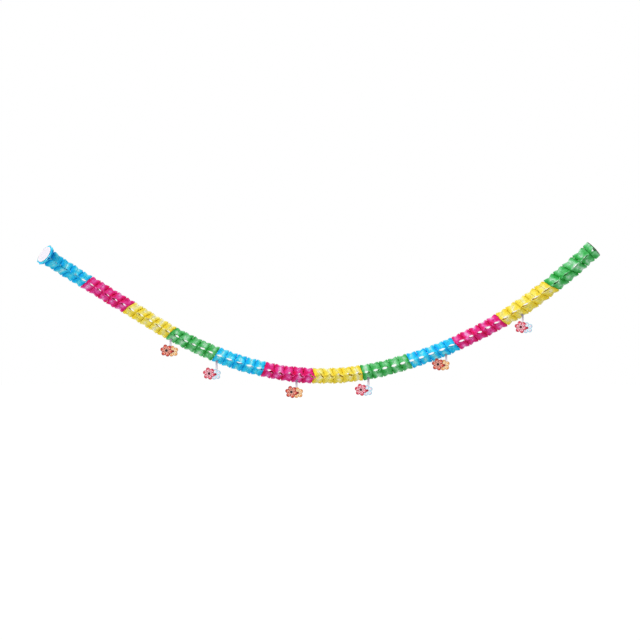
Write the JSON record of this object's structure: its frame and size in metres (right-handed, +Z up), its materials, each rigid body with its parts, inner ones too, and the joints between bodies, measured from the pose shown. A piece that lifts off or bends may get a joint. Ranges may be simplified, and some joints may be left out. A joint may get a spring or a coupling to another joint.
{
  "type": "paper garland",
  "caption": "Pull-out tissue paper garland in bands of four colours, hung in a curve between two round end cards, with die-cut flower cards on paper tabs below it.",
  "frame": {"origin": "centre of the outer face of the left end card, where the garland is pinned up", "axes": "+X runs along the garland's span to the right end card, +Z is up, and the printed side of the flower cards faces -Y"},
  "size_m": [3.6244, 0.2029, 1.0046],
  "materials": {
    "card": "matt pale lavender-grey card with a paler pink rim",
    "blue_tissue": "thin translucent sky-blue tissue",
    "magenta_tissue": "thin translucent magenta tissue",
    "yellow_tissue": "thin translucent yellow tissue",
    "green_tissue": "thin translucent green tissue",
    "warm_flower": "printed card, red-orange front flower and peach rear flower",
    "cool_flower": "printed card, crimson front flower and pale blue rear flower",
    "tab": "matt mauve-grey paper strip"
  },
  "bodies": {
    "root": {"end_card_left": "card", "end_card_right": "card", "tissue_01_blue": "blue_tissue", "tissue_02_magenta": "magenta_tissue", "tissue_03_yellow": "yellow_tissue", "tissue_04_green": "green_tissue", "tissue_05_blue": "blue_tissue", "tissue_06_magenta": "magenta_tissue", "tissue_07_yellow": "yellow_tissue", "tissue_08_green": "green_tissue", "tissue_09_blue": "blue_tissue", "tissue_10_magenta": "magenta_tissue", "tissue_11_yellow": "yellow_tissue", "tissue_12_green": "green_tissue", "flower_card_1": "warm_flower", "flower_card_2": "cool_flower", "flower_card_3": "warm_flower", "flower_card_4": "cool_flower", "flower_card_5": "warm_flower", "flower_card_6": "cool_flower", "hanging_tab_1": "tab", "hanging_tab_2": "tab", "hanging_tab_3": "tab", "hanging_tab_4": "tab", "hanging_tab_5": "tab", "hanging_tab_6": "tab"}
  },
  "joints": []
}
